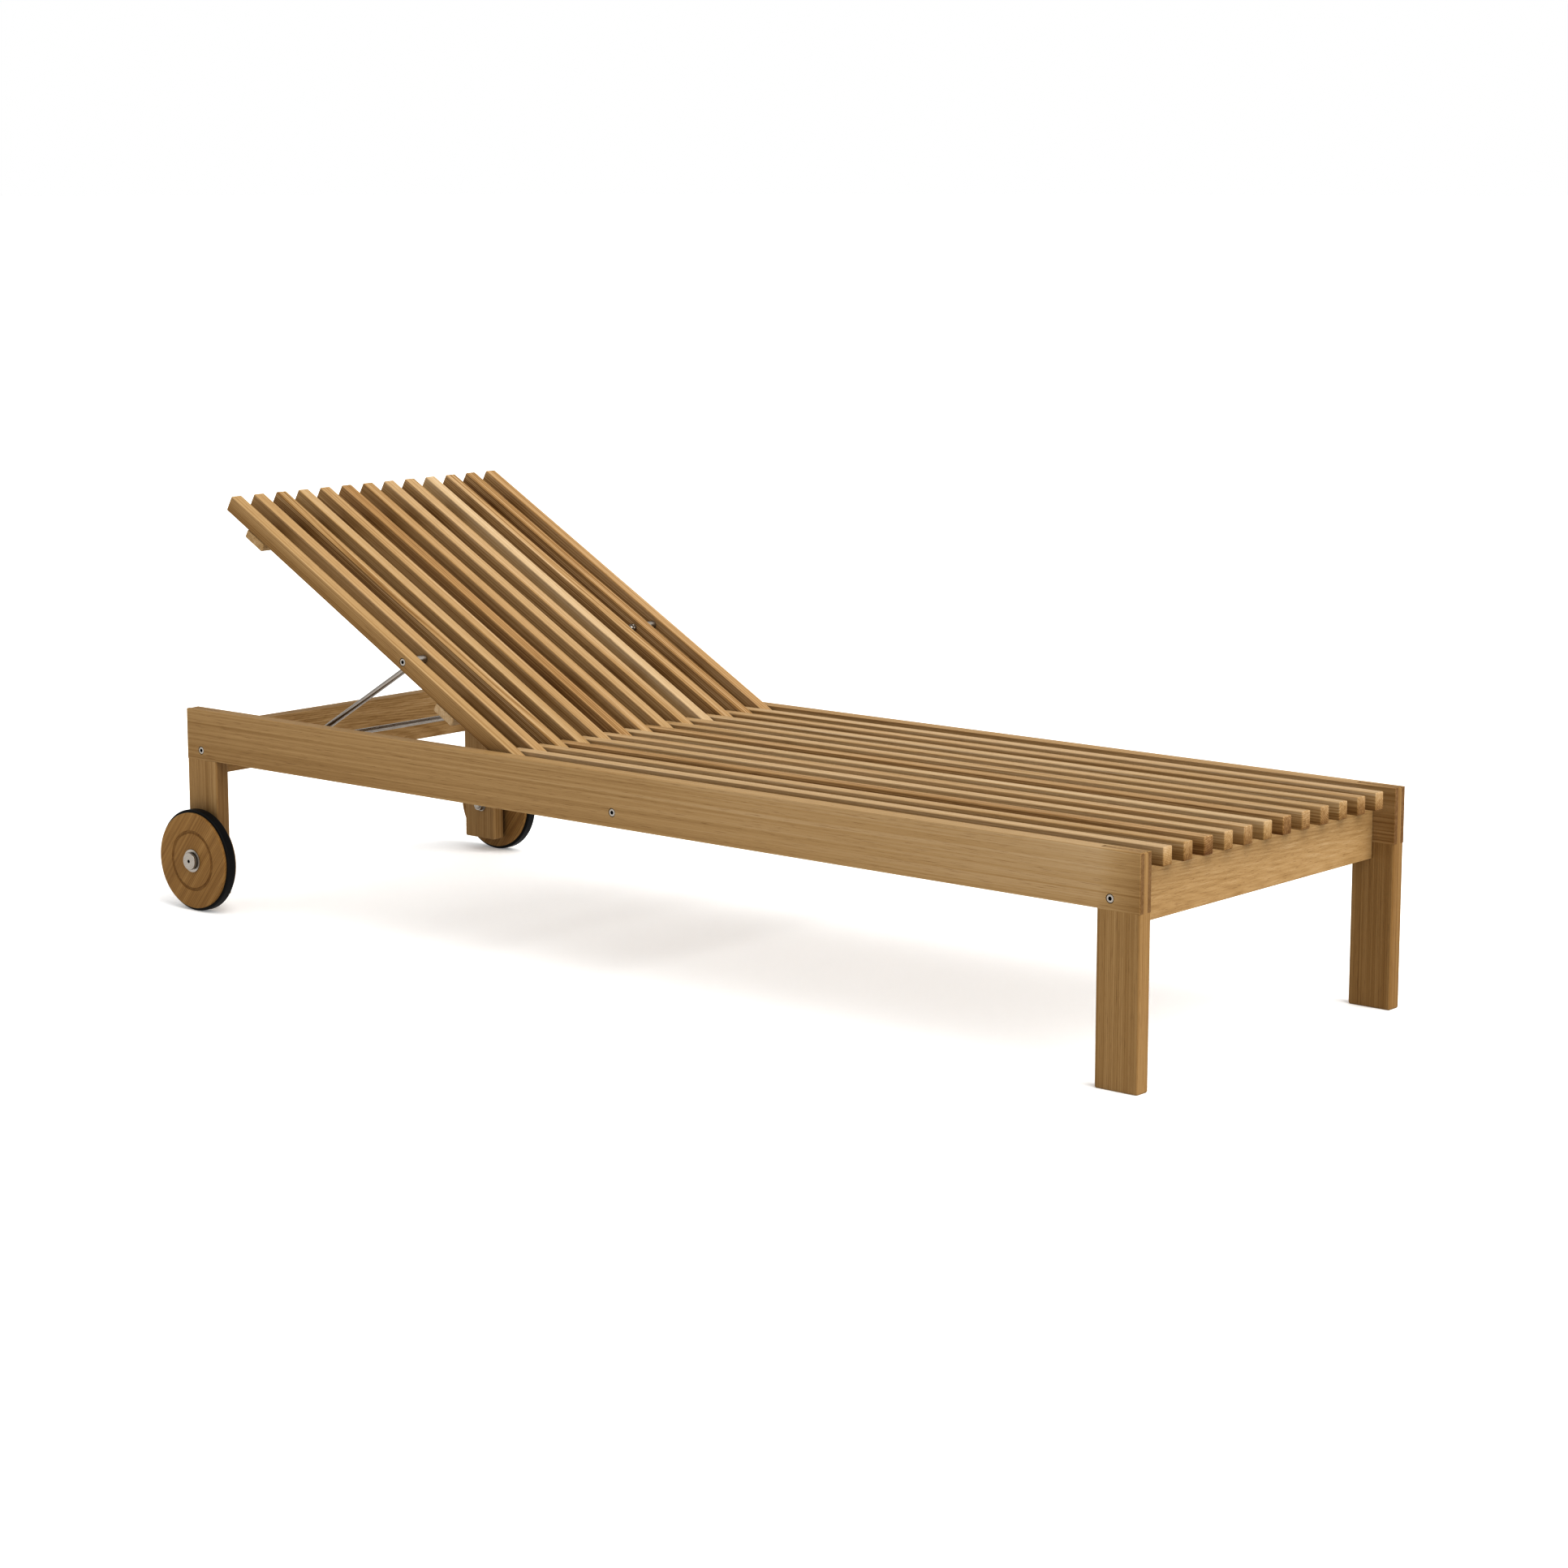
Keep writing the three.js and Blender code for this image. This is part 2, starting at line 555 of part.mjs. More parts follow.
const lounger = new THREE.Group();
lounger.add(frame);
export default lounger;
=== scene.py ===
"""Looks of a reclining teak sun lounger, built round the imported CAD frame. Metres, +Z up."""

import json
import math
import random

import bmesh
import bpy
from mathutils import Matrix, Vector


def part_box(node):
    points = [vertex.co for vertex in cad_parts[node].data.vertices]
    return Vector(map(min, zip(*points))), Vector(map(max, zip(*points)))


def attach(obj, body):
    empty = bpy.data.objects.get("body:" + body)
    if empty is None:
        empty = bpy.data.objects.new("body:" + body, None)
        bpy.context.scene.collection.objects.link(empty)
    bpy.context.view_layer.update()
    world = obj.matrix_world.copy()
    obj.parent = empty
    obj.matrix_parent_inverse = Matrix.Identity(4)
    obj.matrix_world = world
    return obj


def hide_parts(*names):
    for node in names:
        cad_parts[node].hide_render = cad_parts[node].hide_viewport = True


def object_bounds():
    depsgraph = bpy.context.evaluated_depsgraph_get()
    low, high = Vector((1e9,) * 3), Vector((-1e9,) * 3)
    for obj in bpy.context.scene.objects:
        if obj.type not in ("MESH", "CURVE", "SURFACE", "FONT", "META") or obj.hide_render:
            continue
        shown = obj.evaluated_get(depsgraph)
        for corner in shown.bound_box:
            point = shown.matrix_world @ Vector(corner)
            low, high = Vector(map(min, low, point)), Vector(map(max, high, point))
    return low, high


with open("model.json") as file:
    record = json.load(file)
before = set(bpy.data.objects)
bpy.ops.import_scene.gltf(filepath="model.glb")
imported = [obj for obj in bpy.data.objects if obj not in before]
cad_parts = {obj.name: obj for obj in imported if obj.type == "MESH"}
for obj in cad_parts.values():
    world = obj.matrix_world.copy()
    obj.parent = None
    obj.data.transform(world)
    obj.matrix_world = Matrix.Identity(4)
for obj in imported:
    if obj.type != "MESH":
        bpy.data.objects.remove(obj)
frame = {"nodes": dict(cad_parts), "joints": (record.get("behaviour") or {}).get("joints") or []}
cad_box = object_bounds()

# ---- driving values -----------------------------------------------------------------------------
MM = 0.001
VIEW_AZIMUTH = math.radians(40.41)
VIEW_ELEVATION = math.radians(10.10)
VIEW_DISTANCE = 6.118
VIEW_AIM = Vector((0.0406, 0.0447, 0.2771))
LENS = 86.12
SENSOR_WIDTH = 36
VIEW_GAMMA = 0.72  # deepens the shadows and leaves white as it is
KEY_FROM = (0.68, 0.02, 0.73)
KEY_STRENGTH = 3.2
KEY_SOFTNESS = math.radians(60)
KEY_COLOR = (1.0, 1.0, 0.985)
FLOOR_RADIUS = 60  # metres
FLOOR_GLOW = 0.28  # lifts the shadow on the white ground

SLAT_ROUND = 2.1 * MM  # edge rounding of the slats
RAIL_ROUND = 2.4 * MM  # of the side rails
LEG_ROUND = 3.2 * MM  # of the legs
CROSS_ROUND = 1.6 * MM  # of the cross rails
BATTEN_ROUND = 2.4 * MM  # of the back's battens
LONG_EDGE = 8 * MM  # shorter edges belong to bores and notches
ROUND_STEPS = 3

ROD_RADIUS = 5 * MM  # of the hinge rod
SPACER_RADIUS = 9.5 * MM  # of the washers between the slats on the hinge rod
BAIL_ROD = 5 * MM  # radius of the bail's rods
SLEEVE_RADIUS = 7 * MM
SLEEVE_BORE = 4.5 * MM
SLEEVE_LENGTH = 28 * MM
BEAD_RADIUS = 1.5 * MM  # of the weld beads at both ends of the bail's arms
RAIL_BOLT_RADIUS = 4 * MM
BAIL_BOLT_RADIUS = 3.9 * MM
BOLT_THREAD = 12 * MM  # where the thread ends, from the bolt's tip
HEAD_RADIUS = 6.1 * MM  # of the bolt heads, with a dark gap to their recess in the timber
HEAD_DEPTH = 3 * MM
SOCKET_FLATS = 5.6 * MM
SOCKET_DEPTH = 2.4 * MM
THREAD_ROOT = 0.90  # of the thread's outer radius
TIP_TAPER = 0.8  # a bolt's tip, of its radius
BARREL_RADIUS = 6 * MM
BARREL_INSET = 28 * MM  # from the rail's inner face to the barrel nut's axis
BAIL_NUT_FLATS = 13 * MM
AXLE_NUT_FLATS = 18 * MM
NUT_PLATE_RADIUS = 12 * MM  # of the round plate under the axle nut
NUT_PLATE = 1.5 * MM  # its thickness
AXLE_RADIUS = 6 * MM
COLLAR_RADIUS = 12 * MM
CAP_RADIUS = 15 * MM
CAP_HOLE = 2.9 * MM
CAP_NECK = 1.6 * MM  # the step behind the cap that shades the washer
WASHER_RADIUS = 20 * MM
WASHER_BORE = AXLE_RADIUS + 0.4 * MM
WASHER_LIP = 0.35 * MM  # chamfer of its rim
RACK_SCREW_RADIUS = 4.5 * MM
BATTEN_SCREW_RADIUS = 4 * MM
SCREW_RISE = 0.15 * MM  # how far a screw's face stands off the timber
COVE_RADIUS = 50 * MM  # of the ring groove on the wheel's face
COVE_WIDTH = 5.6 * MM
COVE_DEPTH = 2.5 * MM
WHEEL_GRAIN = math.radians(52)  # up from the direction of the foot
WHEEL_TONE = (0.62, 0.10, 0.25)
RACK_TONE = (0.46, 0.3, 0.3)
NOTCH_PITCH = 54 * MM
NOTCH_RADIUS = 6.3 * MM  # a loose fit round the bail's crossbar
TOOTH_RISE = 2.5 * MM  # of the rack's teeth above the crossbar's axis
RING_PITCH = 3.2 * MM  # growth rings of the teak
BACK_UNDER_SHADE = 0.16  # painted shade: a board gets this much lighter from its middle to its top edge, and as much darker to its underside, standing in for the shade between the boards
SEAT_UNDER_SHADE = 0.23
RAIL_UNDER_SHADE = 0.04
RAIL_PAINTED_LIGHT = 0.10  # painted light: the side rails get this much lighter per metre towards the foot, where more light falls on them
RAIL_TIP = 0.24  # but this much darker over their last stretch, above the leg
TIP_RUN = 74 * MM
RAIL_ENDS = 0.95  # how dark their end grain is
CROSS_TILT = math.radians(3)  # of the grain in the cross rails
# painted shade in the wheel's ring groove
COVE_SHADE = 0.8
TURNED_SIDES = 96
WHEEL_SIDES = 128

JOINTS = {joint["name"]: joint for joint in frame["joints"]}
HINGE = Vector(JOINTS["recline"]["pos_m"])
BAIL_PIVOT = Vector(JOINTS["bail_swing"]["pos_m"])
BACK_ANGLE = -math.radians(JOINTS["recline"]["range_deg"][0])  # down to the lower limit, flat
SIDES = {"right": -1, "left": 1}


# ---- camera, light, floor -----------------------------------------------------------------------
def make_camera():
    back = Vector((
        math.sin(VIEW_AZIMUTH) * math.cos(VIEW_ELEVATION),
        -math.cos(VIEW_AZIMUTH) * math.cos(VIEW_ELEVATION),
        math.sin(VIEW_ELEVATION),
    ))
    data = bpy.data.cameras.new("camera")
    data.lens = LENS
    data.sensor_width = SENSOR_WIDTH
    camera = bpy.data.objects.new("camera", data)
    bpy.context.scene.collection.objects.link(camera)
    camera.location = VIEW_AIM + back * VIEW_DISTANCE
    camera.rotation_euler = back.to_track_quat("Z", "Y").to_euler()
    bpy.context.scene.camera = camera


def make_light():
    world = bpy.data.worlds.new("studio")
    world.use_nodes = True
    shade = world.node_tree.nodes["Background"]
    shade.inputs["Color"].default_value = (1, 1, 1, 1)
    shade.inputs["Strength"].default_value = 1.0
    bpy.context.scene.world = world
    key = bpy.data.lights.new("key", "SUN")
    key.energy = KEY_STRENGTH
    key.angle = KEY_SOFTNESS
    key.color = KEY_COLOR
    light = bpy.data.objects.new("key", key)
    light.rotation_euler = Vector(KEY_FROM).to_track_quat("Z", "Y").to_euler()
    bpy.context.scene.collection.objects.link(light)
    view = bpy.context.scene.view_settings
    view.view_transform = "Standard"
    view.gamma = VIEW_GAMMA


def make_floor():
    """A wide white disc under the legs."""
    bm = bmesh.new()
    bmesh.ops.create_circle(bm, cap_ends=True, segments=96, radius=FLOOR_RADIUS)
    mesh = bpy.data.meshes.new("floor")
    bm.to_mesh(mesh)
    bm.free()
    floor = bpy.data.objects.new("floor", mesh)
    floor.location.z = cad_box[0].z
    bpy.context.scene.collection.objects.link(floor)
    mesh.materials.append(floor_paper())


# ---- node helpers -------------------------------------------------------------------------------
class Shader:
    """A material's node tree with short calls for the nodes that these materials share."""

    def __init__(self, name):
        self.material = bpy.data.materials.new(name)
        self.material.use_nodes = True
        self.tree = self.material.node_tree
        self.surface = self.tree.nodes["Principled BSDF"]

    def link(self, source, target):
        self.tree.links.new(source, target)

    def put(self, socket, value):
        if isinstance(value, bpy.types.NodeSocket):
            self.link(value, socket)
        else:
            socket.default_value = value

    def attribute(self, name, output="Vector"):
        node = self.tree.nodes.new("ShaderNodeAttribute")
        node.attribute_name = name
        return node.outputs[output]

    def local(self):
        return self.tree.nodes.new("ShaderNodeTexCoord").outputs["Object"]

    def scaled(self, vector, scale):
        node = self.tree.nodes.new("ShaderNodeMapping")
        self.link(vector, node.inputs["Vector"])
        node.inputs["Scale"].default_value = scale
        return node.outputs["Vector"]

    def noise(self, vector, detail=2.0, roughness=0.5):
        node = self.tree.nodes.new("ShaderNodeTexNoise")
        self.link(vector, node.inputs["Vector"])
        node.inputs["Scale"].default_value = 1.0
        node.inputs["Detail"].default_value = detail
        node.inputs["Roughness"].default_value = roughness
        return node.outputs["Fac"]

    def math(self, operation, a, b=0.0):
        node = self.tree.nodes.new("ShaderNodeMath")
        node.operation = operation
        for socket, value in zip(node.inputs, (a, b)):
            self.put(socket, value)
        return node.outputs[0]

    def spread(self, value, low, high, to_low=0.0, to_high=1.0):
        node = self.tree.nodes.new("ShaderNodeMapRange")
        for key, item in zip(("Value", "From Min", "From Max", "To Min", "To Max"),
                             (value, low, high, to_low, to_high)):
            self.put(node.inputs[key], item)
        return node.outputs["Result"]

    def ramp(self, value, stops):
        node = self.tree.nodes.new("ShaderNodeValToRGB")
        self.link(value, node.inputs["Fac"])
        elements = node.color_ramp.elements
        while len(elements) < len(stops):
            elements.new(0.5)
        for element, (place, color) in zip(elements, stops):
            element.position = place
            element.color = (*color, 1)
        return node.outputs["Color"]

    def blend(self, kind, factor, a, b):
        node = self.tree.nodes.new("ShaderNodeMix")
        node.data_type = "RGBA"
        node.blend_type = kind
        self.put(node.inputs["Factor"], factor)
        self.put(node.inputs[6], a)
        self.put(node.inputs[7], b)
        return node.outputs[2]

    def bump(self, height, distance, strength=1.0):
        node = self.tree.nodes.new("ShaderNodeBump")
        node.inputs["Strength"].default_value = strength
        node.inputs["Distance"].default_value = distance
        self.link(height, node.inputs["Height"])
        self.link(node.outputs["Normal"], self.surface.inputs["Normal"])


# ---- materials ----------------------------------------------------------------------------------
def floor_paper():
    s = Shader("floor_paper")
    cloud = s.noise(s.scaled(s.local(), (0.8, 0.8, 0.8)), 2)
    s.link(s.ramp(cloud, [(0.0, (0.72, 0.72, 0.72)), (1.0, (0.76, 0.76, 0.76))]),
           s.surface.inputs["Base Color"])
    s.surface.inputs["Roughness"].default_value = 0.9
    s.surface.inputs["Specular IOR Level"].default_value = 0.0
    s.surface.inputs["Emission Color"].default_value = (1, 1, 1, 1)
    s.surface.inputs["Emission Strength"].default_value = FLOOR_GLOW
    return s.material


def teak(name, stops, end_and_shade_color, shine):
    """Solid timber from each mesh's own board coordinates: growth rings, fibre streaks and pores."""
    s = Shader(name)
    board = s.attribute("grain")
    tone = s.tree.nodes.new("ShaderNodeSeparateColor")
    s.link(s.attribute("tone", "Color"), tone.inputs[0])
    light, red, figure = tone.outputs
    end = s.attribute("end", "Fac")

    axes = s.tree.nodes.new("ShaderNodeSeparateXYZ")
    s.link(board, axes.inputs[0])
    across = s.math("POWER", axes.outputs[1], 2.0)
    depth = s.math("POWER", axes.outputs[2], 2.0)
    radius = s.math("SQRT", s.math("ADD", across, depth))
    wander = s.noise(s.scaled(board, (1.1, 9, 9)), 2, 0.5)
    sway = s.math("MULTIPLY", wander, s.spread(figure, 0, 1, 1.5, 12.0))
    turns = s.math("ADD", s.math("MULTIPLY", radius, 1 / RING_PITCH), sway)
    wave = s.math("SINE", s.math("MULTIPLY", turns, math.tau))
    ring = s.math("POWER", s.spread(wave, -1, 1), 2.2)

    streak = s.noise(s.scaled(board, (0.8, 190, 190)), 3, 0.6)
    fibre = s.noise(s.scaled(board, (3, 520, 520)), 4, 0.72)
    pore = s.noise(s.scaled(board, (30, 1400, 1400)), 2, 0.5)
    cloud = s.noise(s.scaled(board, (1.6, 16, 16)), 2, 0.5)

    lines = s.spread(figure, 0, 1, 0.34, 1.15)
    value = s.math("MULTIPLY", ring, s.spread(figure, 0, 1, -0.05, -0.34))
    for layer in (s.spread(streak, 0.3, 0.7, -0.24, 0.20), s.spread(fibre, 0.3, 0.7, -0.20, 0.18),
                  s.spread(cloud, 0.25, 0.75, -0.09, 0.09)):
        value = s.math("ADD", value, s.math("MULTIPLY", layer, lines))
    # the tone's lightness carries painted shade towards the boards' undersides and painted light
    # along the side rails
    value = s.math("ADD", value, s.spread(light, 0, 1))
    color = s.ramp(value, stops)

    pits = s.spread(pore, 0.60, 0.72)
    color = s.blend("MULTIPLY", s.math("MULTIPLY", pits, 0.6), color, (0.50, 0.38, 0.26, 1))
    color = s.blend("MULTIPLY", red, color, (1.02, 0.88, 0.80, 1))
    # the end mask darkens end grain, and carries the painted shade of the wheel's ring groove and of
    # a leg's face towards the foot
    color = s.blend("MULTIPLY", s.math("MULTIPLY", end, 0.85), color, (*end_and_shade_color, 1))
    s.link(color, s.surface.inputs["Base Color"])

    s.link(s.spread(fibre, 0.3, 0.7, 0.5 - shine, 0.66 - shine), s.surface.inputs["Roughness"])
    s.surface.inputs["Specular IOR Level"].default_value = 0.14
    relief = s.math("SUBTRACT", s.math("MULTIPLY", fibre, 0.5), s.math("MULTIPLY", pits, 0.5))
    relief = s.math("SUBTRACT", relief, s.math("MULTIPLY", ring, 0.12))
    s.bump(relief, 0.3 * MM, 0.5)
    return s.material


def steel(name, color, grain_scale, rough):
    """Brushed stainless steel; grain_scale stretches the brushing along the part."""
    s = Shader(name)
    lines = s.noise(s.scaled(s.local(), grain_scale), 4, 0.65)
    stain = s.noise(s.scaled(s.local(), (60, 60, 60)), 2)
    shade = s.ramp(lines, [(0.25, tuple(c * 0.80 for c in color)), (0.75, color)])
    shade = s.blend("MULTIPLY", s.spread(stain, 0.4, 0.75, 0, 0.35), shade, (0.78, 0.74, 0.70, 1))
    s.link(shade, s.surface.inputs["Base Color"])
    s.surface.inputs["Metallic"].default_value = 1.0
    s.link(s.spread(lines, 0.2, 0.8, rough - 0.07, rough + 0.10), s.surface.inputs["Roughness"])
    s.bump(lines, 0.05 * MM, 0.35)
    return s.material


def rubber():
    s = Shader("tyre_rubber")
    speck = s.noise(s.scaled(s.local(), (900, 900, 900)), 3, 0.6)
    wear = s.noise(s.scaled(s.local(), (22, 22, 22)), 3)
    color = s.ramp(wear, [(0.3, (0.0035, 0.0035, 0.004)), (0.8, (0.010, 0.0095, 0.010))])
    s.link(color, s.surface.inputs["Base Color"])
    s.link(s.spread(wear, 0.2, 0.8, 0.40, 0.58), s.surface.inputs["Roughness"])
    s.surface.inputs["Specular IOR Level"].default_value = 0.16
    s.bump(speck, 0.12 * MM, 0.4)
    return s.material


def nylon():
    s = Shader("nylon")
    speck = s.noise(s.scaled(s.local(), (240, 240, 240)), 3)
    color = s.ramp(speck, [(0.3, (0.05, 0.045, 0.04)), (0.8, (0.09, 0.08, 0.07))])
    s.link(color, s.surface.inputs["Base Color"])
    s.surface.inputs["Roughness"].default_value = 0.5
    s.bump(speck, 0.05 * MM, 0.3)
    return s.material


HONEY = [
    (0.00, (0.135, 0.064, 0.016)),
    (0.25, (0.220, 0.130, 0.047)),
    (0.50, (0.340, 0.230, 0.112)),
    (0.75, (0.440, 0.332, 0.208)),
    (1.00, (0.570, 0.470, 0.345)),
]
UMBER = [
    (0.00, (0.095, 0.042, 0.010)),
    (0.30, (0.175, 0.092, 0.027)),
    (0.60, (0.260, 0.155, 0.055)),
    (1.00, (0.380, 0.250, 0.110)),
]
TEAK = teak("teak", HONEY, (0.58, 0.51, 0.48), 0.0)
TEAK_WHEEL = teak("teak_wheel", UMBER, (0.85, 0.80, 0.75), 0.04)
STEEL_ROD = steel("steel_rod", (0.37, 0.34, 0.31), (900, 30, 900), 0.26)
STEEL_PART = steel("steel_part", (0.42, 0.39, 0.355), (500, 500, 500), 0.30)
# painted shade: near-black steel for the insides of sockets and holes, where shade falls
SOCKET_SHADE = steel("socket_shade", (0.012, 0.011, 0.010), (400, 400, 400), 0.6)
NYLON = nylon()
RUBBER = rubber()


# ---- mesh helpers -------------------------------------------------------------------------------
def add_object(name, bm, material, body, nodes=(), sharp=40):
    """Turns a bmesh into a piece that rides on a body and stands for its CAD nodes. It is shaded
    smooth across edges below the sharp angle."""
    bmesh.ops.recalc_face_normals(bm, faces=bm.faces)
    for face in bm.faces:
        face.smooth = True
    for edge in bm.edges:
        edge.smooth = len(edge.link_faces) == 2 and edge.calc_face_angle(0) < math.radians(sharp)
    mesh = bpy.data.meshes.new(name)
    bm.to_mesh(mesh)
    bm.free()
    mesh.materials.append(material)
    # faces in sockets and holes take the painted shade
    if any(face.material_index for face in mesh.polygons):
        mesh.materials.append(SOCKET_SHADE)
    piece = bpy.data.objects.new(name, mesh)
    bpy.context.scene.collection.objects.link(piece)
    even = piece.modifiers.new("even_normals", "WEIGHTED_NORMAL")
    even.keep_sharp = True
    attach(piece, body)
    if nodes:
        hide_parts(*nodes)


def cad_copy(node):
    """The CAD node's shape as a bmesh with its flat faces whole again."""
    bm = bmesh.new()
    bm.from_mesh(frame["nodes"][node].data)
    bmesh.ops.remove_doubles(bm, verts=bm.verts, dist=2e-6)
    bmesh.ops.dissolve_limit(bm, angle_limit=math.radians(0.5), verts=bm.verts, edges=bm.edges)
    return bm


def on_box_edges(edge, low, high):
    """Whether an edge lies on two faces of the box from low to high."""
    tolerance = 1e-5
    planes = 0
    for axis in range(3):
        for limit in (low[axis], high[axis]):
            if all(abs(v.co[axis] - limit) < tolerance for v in edge.verts):
                planes += 1
    return planes >= 2


def round_box_edges(bm, width, flush=0.0):
    """Rounds the long edges of a box-shaped board. The lower edges stay square over the length
    flush at both ends, where the legs carry on in the same faces."""
    low = Vector(min(v.co[axis] for v in bm.verts) for axis in range(3))
    high = Vector(max(v.co[axis] for v in bm.verts) for axis in range(3))
    if flush:
        for x in (low.x + flush, high.x - flush):
            bmesh.ops.bisect_plane(bm, geom=[*bm.verts, *bm.edges, *bm.faces], dist=1e-6,
                                   plane_co=(x, 0, 0), plane_no=(1, 0, 0))

    def stays_square(edge):
        if any(v.co.z > low.z + MM for v in edge.verts):
            return False
        middle = (edge.verts[0].co.x + edge.verts[1].co.x) / 2
        return middle < low.x + flush or middle > high.x - flush

    edges = [e for e in bm.edges if e.calc_length() > LONG_EDGE and on_box_edges(e, low, high)]
    edges = [e for e in edges if not (flush and stays_square(e))]
    bmesh.ops.bevel(bm, geom=edges, offset=width, offset_type="OFFSET", segments=ROUND_STEPS,
                    profile=0.5, affect="EDGES", clamp_overlap=True)


def paint_grain(bm, along, seed, tone, tilt=0.0, fade=0.0, sink=0.0, ends=0.15, heart=0.0,
                tip=0.0):
    """Gives the mesh board coordinates, a tone and an end-grain mask. along is the grain's axis.
    A board gets lighter by fade over each metre along it, as painted light, and darker by
    sink from its middle to its underside, as painted shade; tip darkens its last stretch. ends
    is how dark its end grain is, and heart how dark the painted shade on its face towards the foot
    is."""
    rng = random.Random(seed)
    grain = bm.verts.layers.float_vector.new("grain")
    shade = bm.verts.layers.float_color.new("tone")
    end = bm.faces.layers.float.new("end")
    centre = sum((v.co for v in bm.verts), Vector()) / len(bm.verts)
    to_board = along.to_track_quat("X", "Z").to_matrix().transposed()
    to_board = Matrix.Rotation(tilt, 3, "Z") @ to_board
    to_board = Matrix.Rotation(rng.uniform(0, math.tau), 3, "X") @ to_board
    pith = Vector((rng.uniform(-40, 40), rng.uniform(0.03, 0.09), rng.uniform(-0.02, 0.02)))
    half_height = max(v.co.z for v in bm.verts) - centre.z
    tip_start = max((v.co - centre).dot(along) for v in bm.verts) - TIP_RUN
    for vert in bm.verts:
        offset = vert.co - centre
        vert[grain] = to_board @ offset + pith
        # painted light along the board and painted shade towards its underside go into its lightness
        light = tone[0] + fade * offset.dot(along) + sink * offset.z / half_height
        light -= tip * max(0.0, offset.dot(along) - tip_start) / TIP_RUN
        vert[shade] = (light, *tone[1:], 1.0)
    bm.normal_update()
    for face in bm.faces:
        face[end] = ends * min(1.0, max(0.0, (abs(face.normal.dot(along)) - 0.75) * 5))
        # painted shade on a face towards the foot, through the end-grain mask
        if face.normal.x > 0.75:
            face[end] = max(face[end], heart)


# ---- timber -------------------------------------------------------------------------------------
def timber(node, body, slot, along, width, tone, turn=None, flush=0.0, **figure):
    """A board with rounded edges that stands for its CAD node. turn lays a sloping board level
    while its edges are rounded; flush is the length at both ends where the lower edges stay
    square; figure goes to paint_grain."""
    bm = cad_copy(node)
    if turn is not None:
        bm.transform(turn)
    round_box_edges(bm, width, flush)
    paint_grain(bm, along, node, tone, **figure)
    if turn is not None:
        bm.transform(turn.inverted())
    add_object(f"{node}_timber", bm, TEAK, body, [node])


def slats(part):
    """The names of the slats in the seat or the back, in order from the near side."""
    return sorted(n for n in frame["nodes"] if n.startswith(f"{part}_slat_"))


def level_back():
    """The turn about the hinge that lays the back flat."""
    to_hinge = Matrix.Translation(HINGE)
    return to_hinge @ Matrix.Rotation(-BACK_ANGLE, 4, "Y") @ to_hinge.inverted()


BACK_TONES = {  # light, red, figure; slat 1 is the nearest
    1: (0.38, 0.05, 0.15),
    2: (0.42, 0.15, 0.12),
    3: (0.42, 0.10, 0.85),
    4: (0.45, 0.05, 0.20),
    5: (0.43, 0.15, 0.30),
    6: (0.34, 0.35, 0.40),
    7: (0.42, 0.20, 0.30),
    8: (0.49, 0.10, 0.25),
    9: (0.48, 0.15, 0.45),
    10: (0.60, 0.00, 0.10),
    11: (0.46, 0.20, 0.60),
    12: (0.44, 0.30, 0.85),
    13: (0.46, 0.30, 0.35),
}
SEAT_TONES = {  # light, red, figure, and how dark the end grain is
    1: (0.49, 0.05, 0.15, 0.05),
    2: (0.43, 0.10, 0.30, 0.25),
    3: (0.33, 0.30, 0.40, 0.60),
    4: (0.47, 0.05, 0.20, 0.10),
    5: (0.43, 0.15, 0.30, 0.35),
    6: (0.50, 0.00, 0.20, 0.05),
    7: (0.35, 0.25, 0.40, 0.60),
    8: (0.45, 0.10, 0.30, 0.30),
    9: (0.43, 0.10, 0.30, 0.30),
    10: (0.49, 0.05, 0.50, 0.10),
    11: (0.41, 0.15, 0.30, 0.30),
    12: (0.46, 0.10, 0.30, 0.10),
}
BOARD_TONES = {  # light, red, figure
    "side_rail_right": (0.49, 0.00, 0.00),
    "side_rail_left": (0.48, 0.15, 0.20),
    "leg_foot_right": (0.38, 0.00, 0.00),
    "leg_foot_left": (0.30, 0.00, 0.00),
    "leg_head_right": (0.40, 0.05, 0.05),
    "leg_head_left": (0.40, 0.05, 0.05),
    "cross_rail_foot": (0.50, 0.00, 0.00),
    "cross_rail_middle": (0.46, 0.20, 0.20),
    "cross_rail_head": (0.46, 0.05, 0.20),
    "back_batten_upper": (0.60, 0.00, 0.20),
    "back_batten_lower": (0.74, 0.00, 0.20),
}
SHADED_FOOT_FACES = {"leg_head_right": 0.45}  # boards with painted shade on their face towards the foot, which lies in the lounger's shadow
X, Y, Z = Vector((1, 0, 0)), Vector((0, 1, 0)), Vector((0, 0, 1))


